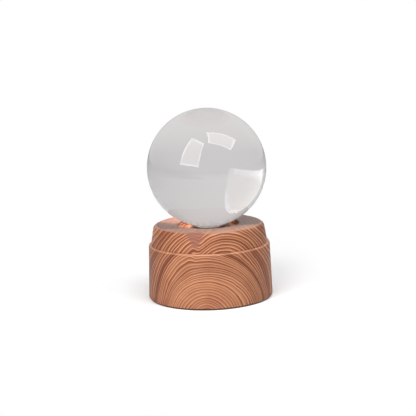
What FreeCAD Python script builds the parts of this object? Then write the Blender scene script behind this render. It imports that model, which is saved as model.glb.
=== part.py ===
import FreeCAD, Part
import math
import os

os.makedirs("parts", exist_ok=True)

# A table lamp: a clear glass ball that rests on a two-tier turned wooden base, lit from below by
# a small board in the upper tier, with three slim round cells under the lower drum.
# Lengths are in millimetres. The origin is the centre of the foot pad's underside, +Z is up and
# the front faces -Y.

# Glass ball
ball_radius = 40.0
ball_sink = 2.4
ball_gap = 0.3

# Lower drum, a hollow turned block around the battery tray
drum_height = 35.9
drum_taper = 1.2
drum_lip_round = 1.1
drum_foot_round = 0.6
drum_rim = 4.4
drum_shelf = 4.8
drum_deck = 6.0
drum_seat_depth = 3.0

# Upper tier, a turned cap glued and screwed on the drum
tier_step = 1.6
tier_taper = 2.2
tier_height = 13.3
tier_shoulder_round = 3.4
tier_foot_round = 0.4
mouth_radius = 20.6
mouth_depth = 3.4
mouth_round = 0.7
tenon_depth = 2.0
tenon_wall = 3.8
tenon_gap = 0.2

# Foot pad under the drum's rim
pad_height = 1.0
pad_inset = 1.0
pad_margin = 0.2

# Soft ring that carries the ball
ring_margin = 0.3
ring_width = 1.6
ring_height = 2.0
ring_round = 0.4

# Lamp holder with its reflector, pressed up into the tier
holder_gap = 0.3
holder_flange = 1.6
holder_flange_depth = 3.2
holder_wall = 3.6
holder_body_height = 3.2
snout_radius = 8.8
snout_wall = 0.8
window_thickness = 1.6
window_drop = 0.2
window_gap = 0.1
window_lip = 0.6
window_round = 0.3

# Light board
board_inset = 0.4
board_thickness = 1.2
board_flat = 1.4
emitter_width = 5.0
emitter_height = 1.5
emitter_ring_radius = 7.0
emitter_dish_radius = 1.9
emitter_dish_depth = 0.4
emitter_side_count = 4
resistor_length = 3.2
resistor_width = 1.6
resistor_height = 0.6
resistor_place = 9.0
resistor_spacing = 3.4

# Screws
screw_slot_width = 0.5
screw_slot_depth = 0.6
board_screw_radius = 0.9
board_screw_length = 4.0
board_screw_head_radius = 1.7
board_screw_head_height = 1.0
board_screw_count = 2
board_screw_angle = 45.0
holder_screw_radius = 1.0
holder_screw_length = 5.6
holder_screw_head_radius = 1.9
holder_screw_head_height = 1.2
holder_screw_margin = 0.8
holder_screw_edge = 0.5
holder_screw_count = 3
holder_screw_angle = 90.0
tier_screw_radius = 1.5
tier_screw_length = 13.0
tier_screw_head_radius = 2.8
tier_screw_count = 3
tier_screw_angle = 30.0
tray_screw_radius = 1.1
tray_screw_length = 9.0
tray_screw_head_radius = 1.6
tray_screw_count = 3
tray_screw_angle = 90.0

# Bottom tray
tray_flange = 2.6
tray_gap = 0.3
tray_wall = 1.0
track_room = 1.98
ledge_width = 1.5
ledge_thickness = 1.2
deck_thickness = 1.2
bay_wall = 1.2
bay_gap = 0.3
bay_corner_round = 1.0
cell_floor_gap = 0.8
rib_height = 1.6
rib_width = 1.0
rib_reach = 6.0

# Twist-off battery cover
cover_gap = 0.3
cover_lift = 0.1
cover_thickness = 1.3
cover_edge_round = 0.4
collar_wall = 1.0
lug_thickness = 1.2
lug_gap = 0.2
lug_headroom = 0.4
lug_count = 3
lug_angle = 24.0
notch_angle = 28.0
twist_angle = 30.0
stop_angle = 3.0
stop_gap_angle = 1.0
coin_slot_length = 17.0
coin_slot_width = 2.4
coin_slot_depth = 0.7
grip_radius = 25.0
grip_width = 1.6
grip_angle = 36.0

# Cells
cell_radius = 5.25
cell_length = 44.5
cell_spacing = 0.7
cell_edge_round = 0.5
cell_nub_radius = 1.9
cell_nub_height = 1.0

# Contacts and springs
contact_thickness = 0.4
contact_width = 8.0
contact_height = 6.2
tab_width = 3.0
tab_reach = 2.0
tab_gap = 0.2
spring_length = 3.8
spring_foot_radius = 3.2
spring_tip_radius = 2.0
spring_wire_radius = 0.3
spring_clearance = 0.05
spring_turn_count = 2

# Push switch at the back of the drum
bezel_recess = 2.8
bezel_margin = 1.0
bezel_thickness = 1.6
bezel_round = 0.7
bezel_gap = 0.3
barrel_radius = 5.9
barrel_length = 10.0
barrel_gap = 0.1
nut_margin = 1.6
nut_thickness = 2.0
nut_gap = 0.05
nut_room = 0.8
nut_flat_depth = 0.8
switch_block_width = 8.0
switch_block_length = 5.0
terminal_width = 2.0
terminal_thickness = 0.5
terminal_length = 4.0
terminal_spacing = 5.0
button_wall = 2.1
button_gap = 0.06
button_proud = 2.2
button_round = 0.9
button_stem = 5.0
button_travel = 2.0

# Inner leads
lead_radius = 0.6

# Cuts run past a face by this much
overrun = 1.0

# Shares and counts that are not lengths
arc_share = 0.45
turn_parts = 3
spring_samples = 48
join_share = 1e-9

# Heights that follow from the sizes above
drum_foot = pad_height
drum_top = drum_foot + drum_height
tier_top = drum_top + tier_height
mouth_floor = tier_top - mouth_depth
ball_centre = tier_top - ball_sink + ball_radius
tray_top = drum_foot + drum_seat_depth
tray_foot = tray_top - tray_flange
ledge_foot = tray_top - ledge_thickness
deck_foot = tray_top + lug_gap + lug_thickness + lug_headroom
deck_top = deck_foot + deck_thickness
cover_top = ledge_foot - cover_lift
cover_foot = cover_top - cover_thickness
cell_height = cover_top + cell_floor_gap + cell_radius
bay_roof = cell_height + cell_radius + bay_gap + bay_wall
cavity_top = drum_top - drum_deck
flange_seat = drum_top + holder_flange_depth
holder_foot = flange_seat - holder_flange
body_top = flange_seat + holder_body_height
window_top = mouth_floor - window_drop
window_foot = window_top - window_thickness
board_foot = holder_foot - board_thickness
switch_height = (deck_top + cavity_top) / 2

# The battery bay, three cells side by side with their ends along X
cell_pitch = 2 * cell_radius + cell_spacing
bay_half_width = cell_pitch + cell_radius + bay_gap
bay_half_length = (cell_length + spring_length) / 2 + contact_thickness
tab_height = cell_height + contact_height / 4

# Radii from the bay outwards: the cover's track, the tray, the drum and the tier
track_radius = math.hypot(bay_half_length, bay_half_width) + track_room
ledge_radius = track_radius - ledge_width
cover_radius = track_radius - cover_gap
collar_radius = ledge_radius - cover_gap
skirt_radius = track_radius + tray_wall
cavity_radius = skirt_radius + tray_gap
seat_radius = cavity_radius + drum_shelf
tray_radius = seat_radius - tray_gap
drum_foot_radius = seat_radius + drum_rim
drum_top_radius = drum_foot_radius - drum_taper
tier_foot_radius = drum_top_radius - tier_step
tier_top_radius = tier_foot_radius - tier_taper
pad_outer_radius = drum_foot_radius - pad_inset
pad_inner_radius = seat_radius + pad_margin

# Radii from the light chips outwards: the reflector, the holder and the drum's neck
reflector_foot_radius = emitter_ring_radius + emitter_width
holder_body_radius = reflector_foot_radius + holder_wall
board_radius = holder_body_radius - board_inset
board_screw_circle = (reflector_foot_radius + holder_body_radius) / 2
holder_screw_circle = holder_body_radius + holder_screw_head_radius + holder_screw_margin
flange_radius = holder_screw_circle + holder_screw_head_radius + holder_screw_edge
holder_seat_radius = flange_radius + holder_gap
tenon_radius = holder_seat_radius + tenon_wall
drum_neck_radius = tenon_radius + tenon_gap
window_radius = snout_radius - snout_wall - window_gap
reflector_mouth_radius = window_radius - window_lip
ring_inner_radius = snout_radius + holder_gap + ring_margin
ring_outer_radius = ring_inner_radius + ring_width
tray_screw_circle = (seat_radius + cavity_radius) / 2
tier_screw_circle = (drum_neck_radius + cavity_radius) / 2

# The switch, from its barrel outwards
switch_face = drum_top_radius - bezel_recess
bezel_radius = barrel_radius + bezel_margin
button_radius = barrel_radius - button_wall
nut_half_width = barrel_radius + nut_margin
nut_corner_radius = nut_half_width / math.cos(math.pi / 6)
nut_flat_half = nut_corner_radius + nut_room
nut_flat_face = cavity_radius + nut_flat_depth

UP = FreeCAD.Vector(0, 0, 1)
ORIGIN = FreeCAD.Vector(0, 0, 0)


def point(x, y, z):
    """A point in the lamp's frame."""
    return FreeCAD.Vector(x, y, z)


def upright(a, b):
    """Outline point a, b on the plane through the lamp's axis: a is the radius, b the height."""
    return point(a, 0, b)


def level(height):
    """A rule that puts outline point a, b on the level plane at this height."""
    return lambda a, b: point(a, b, height)


def outline(corners, place):
    """A closed wire through corners (a, b, round), each rounded corner a tangent arc."""
    firsts = []
    middles = []
    lasts = []
    for index, (a, b, radius) in enumerate(corners):
        here = point(a, b, 0)
        back = corners[index - 1]
        ahead = corners[(index + 1) % len(corners)]
        to_back = (point(back[0], back[1], 0) - here).normalize()
        to_ahead = (point(ahead[0], ahead[1], 0) - here).normalize()
        half = to_back.getAngle(to_ahead) / 2
        reach = radius / math.tan(half)
        bisector = to_back + to_ahead
        depth = radius / math.sin(half) - radius
        firsts.append(here + to_back * reach)
        lasts.append(here + to_ahead * reach)
        middles.append(here + bisector.normalize() * depth if radius else here)
    edges = []
    for index, (a, b, radius) in enumerate(corners):
        if radius:
            arc_points = [place(p.x, p.y) for p in (firsts[index], middles[index], lasts[index])]
            edges.append(Part.Arc(*arc_points).toShape())
        start = lasts[index]
        end = firsts[(index + 1) % len(corners)]
        if (end - start).Length > start.Length * join_share:
            edges.append(Part.LineSegment(place(start.x, start.y), place(end.x, end.y)).toShape())
    return Part.Wire(edges)


def turned(corners):
    """A solid of revolution about the lamp's axis from an outline of (radius, height, round)."""
    return Part.Face(outline(corners, upright)).revolve(ORIGIN, UP, 360)


def slab(corners, low, high):
    """A plate from an outline of (x, y, round) between two heights."""
    return Part.Face(outline(corners, level(low))).extrude(UP * (high - low))


def disc(radius, low, high):
    """A plain cylinder about the lamp's axis between two heights."""
    return Part.makeCylinder(radius, high - low, point(0, 0, low))


def tube(outer, inner, low, high):
    """A plain ring about the lamp's axis between two heights."""
    return disc(outer, low, high).cut(disc(inner, low - overrun, high + overrun))


def sector(outer, inner, low, high, middle_angle, width_angle):
    """A piece of a ring, centred on an angle in degrees."""
    ring = Part.makeCylinder(outer, high - low, point(0, 0, low), UP, width_angle)
    ring = ring.cut(disc(inner, low - overrun, high + overrun))
    return ring.rotated(ORIGIN, UP, middle_angle - width_angle / 2)


def block(x_low, x_high, y_low, y_high, z_low, z_high):
    """A square block between two opposite corners."""
    return Part.makeBox(x_high - x_low, y_high - y_low, z_high - z_low, point(x_low, y_low, z_low))


def rectangle(half_length, half_width, radius):
    """Corners of a rounded rectangle about the axis, for slab."""
    signs = [(-1, -1), (1, -1), (1, 1), (-1, 1)]
    return [(x * half_length, y * half_width, radius) for x, y in signs]


def around(shape, count, first_angle):
    """Copies of a shape, evenly turned about the lamp's axis."""
    return [shape.rotated(ORIGIN, UP, first_angle + index * 360 / count) for index in range(count)]


def group(shapes):
    """Separate solids kept in one node."""
    return Part.makeCompound(shapes)


def moved(shape, x, y, z):
    """A copy of a shape, shifted."""
    return shape.translated(point(x, y, z))


def swept(edges, radius):
    """A round tube along joined edges that starts square to the first one."""
    start = edges[0].valueAt(edges[0].FirstParameter)
    direction = edges[0].tangentAt(edges[0].FirstParameter)
    section = Part.Wire(Part.Circle(start, direction, radius).toShape())
    return Part.Wire(edges).makePipeShell([section], True, False)


def pan_screw(radius, length, head_radius, head_height):
    """A screw with a low bevelled head below its seat at height zero and its shank above."""
    bevel = head_height / 2
    body = turned([
        (0, -head_height, 0),
        (head_radius - bevel, -head_height, 0),
        (head_radius, -bevel, 0),
        (head_radius, 0, 0),
        (radius, 0, 0),
        (radius, length - radius, 0),
        (0, length, 0),
    ])
    return body.cut(cross_slot(head_radius, -head_height))


def flush_screw(radius, length, head_radius):
    """A countersunk screw with its flat head at height zero and its point above."""
    head_height = head_radius - radius
    rim = head_height / 4
    body = turned([
        (0, 0, 0),
        (head_radius, 0, 0),
        (head_radius, rim, 0),
        (radius, head_height + rim, 0),
        (radius, length - radius, 0),
        (0, length, 0),
    ])
    return body.cut(cross_slot(head_radius, 0))


def cross_slot(head_radius, face):
    """The driver's cross that is cut up into a screw head from the height of its face."""
    reach = head_radius * 2 / 3
    half = screw_slot_width / 2
    low = face - overrun
    high = face + screw_slot_depth
    return block(-reach, reach, -half, half, low, high).fuse(block(-half, half, -reach, reach, low, high))


def countersink(radius, head_radius, depth):
    """The cut that takes a countersunk screw with its head flush at height zero."""
    rim = (head_radius - radius) / 4
    cut = turned([
        (0, -overrun, 0),
        (head_radius, -overrun, 0),
        (head_radius, rim, 0),
        (radius, head_radius - radius + rim, 0),
        (radius, depth, 0),
        (0, depth, 0),
    ])
    return cut


def crystal_ball():
    """The clear ball."""
    return Part.makeSphere(ball_radius, point(0, 0, ball_centre))


def seat_ring():
    """A soft ring on the floor of the mouth, hollowed to the ball's curve with a small gap."""
    ring = turned([
        (ring_inner_radius, mouth_floor, 0),
        (ring_outer_radius, mouth_floor, 0),
        (ring_outer_radius, mouth_floor + ring_height, ring_round),
        (ring_inner_radius, mouth_floor + ring_height, 0),
    ])
    return ring.cut(Part.makeSphere(ball_radius + ball_gap, point(0, 0, ball_centre)))


def upper_tier():
    """The cap: a tapered wall, a round shoulder, the mouth for the ball and the lamp's stepped bore."""
    tier = turned([
        (snout_radius + holder_gap, mouth_floor, 0),
        (mouth_radius, mouth_floor, 0),
        (mouth_radius, tier_top, mouth_round),
        (tier_top_radius, tier_top, tier_shoulder_round),
        (tier_foot_radius, drum_top, tier_foot_round),
        (tenon_radius, drum_top, 0),
        (tenon_radius, drum_top - tenon_depth, 0),
        (holder_seat_radius, drum_top - tenon_depth, 0),
        (holder_seat_radius, flange_seat, 0),
        (holder_body_radius + holder_gap, flange_seat, 0),
        (holder_body_radius + holder_gap, body_top, 0),
        (snout_radius + holder_gap, body_top, 0),
    ])
    tier_hole = Part.makeCylinder(
        tier_screw_radius, tier_screw_length, point(tier_screw_circle, 0, cavity_top)
    )
    holder_hole = Part.makeCylinder(
        holder_screw_radius, holder_screw_length, point(holder_screw_circle, 0, holder_foot)
    )
    tier = tier.cut(around(tier_hole, tier_screw_count, tier_screw_angle))
    return tier.cut(around(holder_hole, holder_screw_count, holder_screw_angle))


def lower_drum():
    """The drum: a slightly tapered wall with a rounded lip, milled out from below."""
    drum = turned([
        (seat_radius, drum_foot, 0),
        (drum_foot_radius, drum_foot, drum_foot_round),
        (drum_top_radius, drum_top, drum_lip_round),
        (drum_neck_radius, drum_top, 0),
        (drum_neck_radius, cavity_top, 0),
        (cavity_radius, cavity_top, 0),
        (cavity_radius, tray_top, 0),
        (seat_radius, tray_top, 0),
    ])
    sink = moved(
        countersink(tier_screw_radius, tier_screw_head_radius, drum_deck + overrun),
        tier_screw_circle, 0, cavity_top,
    )
    drum = drum.cut(around(sink, tier_screw_count, tier_screw_angle))
    pilot = Part.makeCylinder(tray_screw_radius, tray_screw_length, point(tray_screw_circle, 0, tray_foot))
    drum = drum.cut(around(pilot, tray_screw_count, tray_screw_angle))
    return drum.cut(switch_cut())


def switch_cut():
    """The stepped hole for the switch: a flat for the bezel, a bore, and a flat for the nut."""
    bore = cylinder_back(barrel_radius + barrel_gap, switch_face + overrun, nut_flat_face - overrun)
    face = cylinder_back(bezel_radius + bezel_gap, drum_foot_radius + overrun, switch_face)
    half = nut_flat_half
    flat = block(
        -half, half, cavity_radius / 2, nut_flat_face,
        switch_height - half, min(switch_height + half, cavity_top),
    )
    flat = flat.common(disc(drum_top_radius, tray_top, cavity_top))
    return bore.fuse([face, flat])


def cylinder_back(radius, y_outer, y_inner):
    """A cylinder along the switch's axis between two places on Y."""
    return Part.makeCylinder(radius, y_outer - y_inner, point(0, y_inner, switch_height), point(0, 1, 0))


def foot_pad():
    """A flat non-slip ring under the drum's rim."""
    return tube(pad_outer_radius, pad_inner_radius, 0, pad_height)


def lamp_holder():
    """A white moulding: a flange, a body and a snout around a tapered reflector."""
    holder = turned([
        (reflector_foot_radius, holder_foot, 0),
        (flange_radius, holder_foot, 0),
        (flange_radius, flange_seat, 0),
        (holder_body_radius, flange_seat, 0),
        (holder_body_radius, body_top - holder_gap, 0),
        (snout_radius, body_top - holder_gap, 0),
        (snout_radius, window_top, 0),
        (window_radius + window_gap, window_top, 0),
        (window_radius + window_gap, window_foot, 0),
        (reflector_mouth_radius, window_foot, 0),
    ])
    board_hole = Part.makeCylinder(
        board_screw_radius, board_screw_length, point(board_screw_circle, 0, board_foot)
    )
    holder_hole = Part.makeCylinder(
        holder_screw_radius, holder_screw_length, point(holder_screw_circle, 0, holder_foot)
    )
    holder = holder.cut(around(board_hole, board_screw_count, board_screw_angle))
    return holder.cut(around(holder_hole, holder_screw_count, holder_screw_angle))


def light_window():
    """The frosted disc that closes the reflector under the ball."""
    return turned([
        (0, window_foot, 0),
        (window_radius, window_foot, 0),
        (window_radius, window_top, window_round),
        (0, window_top, 0),
    ])


def light_board():
    """The round board with one flat on its edge."""
    board = disc(board_radius, board_foot, holder_foot)
    flat_edge = board_radius - board_flat
    board = board.cut(block(
        -board_radius, board_radius, -board_radius, -flat_edge, board_foot - overrun, holder_foot + overrun,
    ))
    hole = Part.makeCylinder(
        board_screw_radius, board_thickness + 2 * overrun, point(board_screw_circle, 0, board_foot - overrun)
    )
    return board.cut(around(hole, board_screw_count, board_screw_angle))


def light_emitters():
    """Square light chips, one in the middle and the rest in a ring, each with a round dish."""
    half = emitter_width / 2
    top = holder_foot + emitter_height
    chip = block(-half, half, -half, half, holder_foot, top)
    chip = chip.cut(Part.makeCone(
        emitter_dish_radius - emitter_dish_depth, emitter_dish_radius, emitter_dish_depth,
        point(0, 0, top - emitter_dish_depth),
    ))
    side_chip = moved(chip, emitter_ring_radius, 0, 0)
    return group([chip] + around(side_chip, emitter_side_count, 0))


def board_resistors():
    """Two small flat resistors on the board's underside."""
    half_length = resistor_length / 2
    half_width = resistor_width / 2
    part = block(
        -half_length, half_length, -half_width, half_width, board_foot - resistor_height, board_foot
    )
    return group([
        moved(part, resistor_place, -resistor_spacing / 2, 0),
        moved(part, resistor_place, resistor_spacing / 2, 0),
    ])


def board_screws():
    """Screws that hold the board under the reflector."""
    screw = pan_screw(
        board_screw_radius, board_screw_length, board_screw_head_radius, board_screw_head_height
    )
    return group(around(
        moved(screw, board_screw_circle, 0, board_foot), board_screw_count, board_screw_angle
    ))


def holder_screws():
    """Screws that hold the lamp holder up in the tier."""
    screw = pan_screw(
        holder_screw_radius, holder_screw_length, holder_screw_head_radius, holder_screw_head_height
    )
    return group(around(
        moved(screw, holder_screw_circle, 0, holder_foot), holder_screw_count, holder_screw_angle
    ))


def tier_screws():
    """Countersunk screws up through the drum's deck into the tier."""
    screw = flush_screw(tier_screw_radius, tier_screw_length, tier_screw_head_radius)
    return group(around(
        moved(screw, tier_screw_circle, 0, cavity_top), tier_screw_count, tier_screw_angle
    ))


def tray_screws():
    """Countersunk screws up through the tray's flange into the drum."""
    screw = flush_screw(tray_screw_radius, tray_screw_length, tray_screw_head_radius)
    return group(around(
        moved(screw, tray_screw_circle, 0, tray_foot), tray_screw_count, tray_screw_angle
    ))


def bottom_tray():
    """The moulded tray: flange, bayonet ledge, deck, and the bay with a trough for each cell."""
    tray = turned([
        (ledge_radius, ledge_foot, 0),
        (track_radius, ledge_foot, 0),
        (track_radius, tray_foot, 0),
        (tray_radius, tray_foot, 0),
        (tray_radius, tray_top, 0),
        (skirt_radius, tray_top, 0),
        (skirt_radius, deck_top, 0),
        (0, deck_top, 0),
        (0, deck_foot, 0),
        (track_radius, deck_foot, 0),
        (track_radius, tray_top, 0),
        (ledge_radius, tray_top, 0),
    ])
    notch = sector(
        track_radius, ledge_radius - overrun, ledge_foot - overrun, tray_top + overrun,
        -twist_angle, notch_angle,
    )
    tray = tray.cut(around(notch, lug_count, 0))
    stop = sector(
        track_radius + tray_wall / 2, ledge_radius, ledge_foot, deck_foot + deck_thickness / 2,
        (lug_angle + stop_angle) / 2 + stop_gap_angle, stop_angle,
    )
    tray = tray.fuse(around(stop, lug_count, 0))
    tray = tray.fuse(bay_shell())
    tray = tray.cut(bay_hollow())
    sink = moved(
        countersink(tray_screw_radius, tray_screw_head_radius, tray_flange + overrun),
        tray_screw_circle, 0, tray_foot,
    )
    return tray.cut(around(sink, tray_screw_count, tray_screw_angle))


def bay_shell():
    """The bay's outside with stiffening ribs on its roof."""
    shell = slab(
        rectangle(bay_half_length + bay_wall, bay_half_width + bay_wall, bay_corner_round),
        deck_foot, bay_roof,
    )
    half = rib_width / 2
    reach = bay_half_width - rib_reach
    ribs = []
    for x in (-bay_half_length / 2, 0, bay_half_length / 2):
        ribs.append(block(x - half, x + half, -reach, reach, bay_roof - bay_wall / 2, bay_roof + rib_height))
    return shell.fuse(ribs)


def bay_hollow():
    """The bay's inside: three troughs over the cells, open below, and a slot for each lead tab."""
    low = deck_foot - overrun
    hollow = block(
        -bay_half_length, bay_half_length, -bay_half_width, bay_half_width, low, cell_height
    )
    troughs = []
    for y in (-cell_pitch, 0, cell_pitch):
        start = point(-bay_half_length, y, cell_height)
        troughs.append(Part.makeCylinder(
            cell_radius + bay_gap, 2 * bay_half_length, start, point(1, 0, 0)
        ))
    end_room = contact_thickness + spring_length / 2
    end_top = cell_height + contact_height / 2
    for x in (-bay_half_length, bay_half_length - end_room):
        troughs.append(block(x, x + end_room, -bay_half_width, bay_half_width, low, end_top))
    half = tab_width / 2 + tab_gap
    thick = contact_thickness / 2 + tab_gap
    for x, y in ((bay_half_length, cell_pitch), (-bay_half_length, -cell_pitch)):
        troughs.append(block(
            x - 2 * bay_wall, x + 2 * bay_wall, y - half, y + half, tab_height - thick, tab_height + thick
        ))
    return hollow.fuse(troughs)


def battery_cover():
    """The twist-off cover: a disc with a coin slot, a collar and bayonet lugs above the ledge."""
    cover = turned([
        (0, cover_foot, 0),
        (cover_radius, cover_foot, cover_edge_round),
        (cover_radius, cover_top, 0),
        (collar_radius, cover_top, 0),
        (collar_radius, tray_top + lug_gap + lug_thickness, 0),
        (collar_radius - collar_wall, tray_top + lug_gap + lug_thickness, 0),
        (collar_radius - collar_wall, cover_top, 0),
        (0, cover_top, 0),
    ])
    lug = sector(
        cover_radius, collar_radius - collar_wall / 2, tray_top + lug_gap,
        tray_top + lug_gap + lug_thickness, 0, lug_angle,
    )
    cover = cover.fuse(around(lug, lug_count, 0))
    slot_foot = cover_foot - overrun
    slot_top = cover_foot + coin_slot_depth
    slot = slab(
        rectangle(coin_slot_length / 2, coin_slot_width / 2, coin_slot_width / 3), slot_foot, slot_top
    )
    grip = sector(grip_radius, grip_radius - grip_width, slot_foot, slot_top, 0, grip_angle)
    return cover.cut([slot] + around(grip, 2, 0))


def cell(y, direction):
    """One slim round cell along X, with its nub towards +X or -X and its other end on the spring."""
    barrel = cell_length - cell_nub_height
    upright_cell = turned([
        (0, 0, 0),
        (cell_radius, 0, cell_edge_round),
        (cell_radius, barrel, cell_edge_round),
        (cell_nub_radius, barrel, 0),
        (cell_nub_radius, cell_length, cell_nub_height / 4),
        (0, cell_length, 0),
    ])
    lying = upright_cell.rotated(ORIGIN, point(0, 1, 0), 90 * direction)
    start = direction * (spring_length - cell_length) / 2
    return moved(lying, start, y, cell_height)


def contact_plate(x_side, y_low, y_high):
    """A thin plate flat against one end wall of the bay."""
    x_wall = x_side * bay_half_length
    x_face = x_side * (bay_half_length - contact_thickness)
    low = cell_height - contact_height / 2
    return block(min(x_wall, x_face), max(x_wall, x_face), y_low, y_high, low, low + contact_height)


def end_contact(x_side, y):
    """A contact for one cell with a tab through the wall for its lead."""
    half = contact_width / 2
    plate = contact_plate(x_side, y - half, y + half)
    x_near = x_side * (bay_half_length - contact_thickness)
    x_far = x_side * (bay_half_length + bay_wall + tab_reach)
    tab = block(
        min(x_near, x_far), max(x_near, x_far), y - tab_width / 2, y + tab_width / 2,
        tab_height - contact_thickness / 2, tab_height + contact_thickness / 2,
    )
    return plate.fuse(tab).removeSplitter()


def link_contact(x_side, y_side):
    """A contact that joins the middle cell with the cell on one side of it."""
    half = contact_width / 2
    return contact_plate(x_side, min(0, y_side * cell_pitch) - half, max(0, y_side * cell_pitch) + half)


def arc_from(start, start_direction, end):
    """An arc that leaves one point along a direction and ends at another."""
    chord = end - start
    angle = start_direction.getAngle(chord)
    half_way = (start_direction + chord / chord.Length).normalize()
    middle = start + half_way * (chord.Length / 2 / math.cos(angle / 2))
    return Part.Arc(start, middle, end).toShape()


def biarc(start, start_direction, end, end_direction):
    """Two tangent arcs between two points with given directions."""
    span = end - start
    both = start_direction + end_direction
    spread = 2 - 2 * start_direction.dot(end_direction)
    lean = span.dot(both)
    reach = (-lean + math.sqrt(lean * lean + spread * span.dot(span))) / spread
    joint = (start + end + (start_direction - end_direction) * reach) / 2
    return [arc_from(start, start_direction, joint), arc_from(end, end_direction * -1, joint)]


def spring_point(turn):
    """Place and direction on a tapering helix that rises along Z from the contact plate."""
    foot = spring_wire_radius + spring_clearance
    rise = spring_length - 2 * foot
    share = turn / spring_turn_count
    radius = spring_foot_radius + (spring_tip_radius - spring_foot_radius) * share
    angle = 2 * math.pi * turn
    place = point(radius * math.cos(angle), radius * math.sin(angle), foot + rise * share)
    inward = (spring_tip_radius - spring_foot_radius) / spring_turn_count
    direction = point(
        inward * math.cos(angle) - 2 * math.pi * radius * math.sin(angle),
        inward * math.sin(angle) + 2 * math.pi * radius * math.cos(angle),
        rise / spring_turn_count,
    )
    return place, direction.normalize()


def cell_spring(x_side, y):
    """One tapered spring between a contact plate and the flat end of a cell."""
    edges = []
    steps = spring_turn_count * turn_parts
    for step in range(steps):
        start, start_direction = spring_point(step / turn_parts)
        end, end_direction = spring_point((step + 1) / turn_parts)
        edges.extend(biarc(start, start_direction, end, end_direction))
    spring = swept(Part.sortEdges(edges)[0], spring_wire_radius)
    lying = spring.rotated(ORIGIN, point(0, 1, 0), -90 * x_side)
    return moved(lying, x_side * (bay_half_length - contact_thickness), y, cell_height)


def spring_gap():
    """The least gap between neighbouring turns of a spring, measured on points of its middle line."""
    steps = spring_turn_count * spring_samples
    line = [spring_point(step / spring_samples)[0] for step in range(steps + 1)]
    gaps = []
    for index, here in enumerate(line):
        for other in line[index + spring_samples // 2:]:
            gaps.append((other - here).Length - 2 * spring_wire_radius)
    return min(gaps)


def cell_springs():
    """The three springs, one at the flat end of each cell."""
    print("least gap between turns of a spring", round(spring_gap(), 3))
    return group([cell_spring(-1, -cell_pitch), cell_spring(1, 0), cell_spring(-1, cell_pitch)])


def along_back(corners):
    """A turned piece about the switch's axis from (radius, distance out along +Y, round)."""
    return turned(corners).rotated(ORIGIN, point(1, 0, 0), -90).translated(point(0, 0, switch_height))


def switch_body():
    """The switch's housing: a bezel, a round barrel with the button's bore and a square rear block."""
    barrel_end = switch_face - barrel_length
    bore_radius = button_radius + button_gap
    bore_end = switch_face - button_stem - button_travel
    body = along_back([
        (0, barrel_end, 0),
        (barrel_radius, barrel_end, 0),
        (barrel_radius, switch_face, 0),
        (bezel_radius, switch_face, 0),
        (bezel_radius, switch_face + bezel_thickness, bezel_round),
        (bore_radius, switch_face + bezel_thickness, 0),
        (bore_radius, bore_end, 0),
        (0, bore_end, 0),
    ])
    half = switch_block_width / 2
    rear = block(
        -half, half, barrel_end - switch_block_length, barrel_end, switch_height - half, switch_height + half
    )
    return body.fuse(rear).removeSplitter()


def switch_terminals():
    """Two flat terminals behind the switch."""
    y_high = switch_face - barrel_length - switch_block_length
    half = terminal_width / 2
    thick = terminal_thickness / 2
    blade = block(
        -half, half, y_high - terminal_length, y_high, switch_height - thick, switch_height + thick
    )
    return group([moved(blade, side * terminal_spacing / 2, 0, 0) for side in (-1, 1)])


def switch_button():
    """The round push button with a crowned end."""
    outer_end = switch_face + bezel_thickness + button_proud
    return along_back([
        (0, switch_face - button_stem, 0),
        (button_radius, switch_face - button_stem, 0),
        (button_radius, outer_end, button_round),
        (0, outer_end, 0),
    ])


def switch_nut():
    """The six-sided nut that clamps the switch against the flat inside the drum."""
    corners = []
    for index in range(6):
        angle = index * math.pi / 3
        corners.append((nut_corner_radius * math.cos(angle), nut_corner_radius * math.sin(angle), 0))
    nut = slab(corners, 0, nut_thickness)
    nut = nut.cut(disc(barrel_radius + nut_gap, -overrun, nut_thickness + overrun))
    nut = nut.rotated(ORIGIN, point(1, 0, 0), 90)
    return moved(nut, 0, nut_flat_face, switch_height)


def lead(points):
    """A thin lead on straight runs joined by tangent arcs, as large as the shorter run allows."""
    edges = []
    start = points[0]
    for before, here, after in zip(points, points[1:], points[2:]):
        run_in = (here - before).normalize()
        run_out = (after - here).normalize()
        half_turn = run_in.getAngle(run_out) / 2
        reach = arc_share * min((here - before).Length, (after - here).Length)
        radius = reach / math.tan(half_turn)
        first = here - run_in * reach
        last = here + run_out * reach
        inward = (run_out - run_in).normalize()
        middle = here + inward * (radius / math.cos(half_turn) - radius)
        edges.append(Part.LineSegment(start, first).toShape())
        edges.append(Part.Arc(first, middle, last).toShape())
        start = last
        print("lead arc radius", round(radius, 2))
    edges.append(Part.LineSegment(start, points[-1]).toShape())
    tube_shape = swept(edges, lead_radius)
    length = sum(edge.Length for edge in edges)
    print("lead length", round(length, 2))
    print("lead volume over section times length", tube_shape.Volume / (math.pi * lead_radius ** 2 * length))
    return tube_shape


def lead_places():
    """Where the leads end: on the two tabs, on the two terminals and on the board."""
    tab_x = bay_half_length + bay_wall + tab_reach / 2
    tab_top = tab_height + contact_thickness / 2
    terminal_y = switch_face - barrel_length - switch_block_length - terminal_length / 2
    terminal_top = switch_height + terminal_thickness / 2
    side = terminal_spacing / 2
    return {
        "plus_tab": point(tab_x, cell_pitch, tab_top),
        "minus_tab": point(-tab_x, -cell_pitch, tab_top),
        "plus_terminal": point(side, terminal_y, terminal_top),
        "lamp_terminal": point(-side, terminal_y, terminal_top),
        "plus_pad": point(-board_radius / 3, board_radius / 3, board_foot),
        "minus_pad": point(-board_radius / 3, -board_radius / 3, board_foot),
    }


def plus_lead():
    """From the plus tab up and over to the switch."""
    ends = lead_places()
    start = ends["plus_tab"]
    end = ends["plus_terminal"]
    rise = cavity_top - switch_height - lead_radius * 4
    return lead([
        start,
        point(start.x, start.y, switch_height),
        point((start.x + end.x) * 3 / 5, end.y, switch_height + rise * 3 / 4),
        point(end.x, end.y, switch_height + rise),
        end,
    ])


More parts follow.
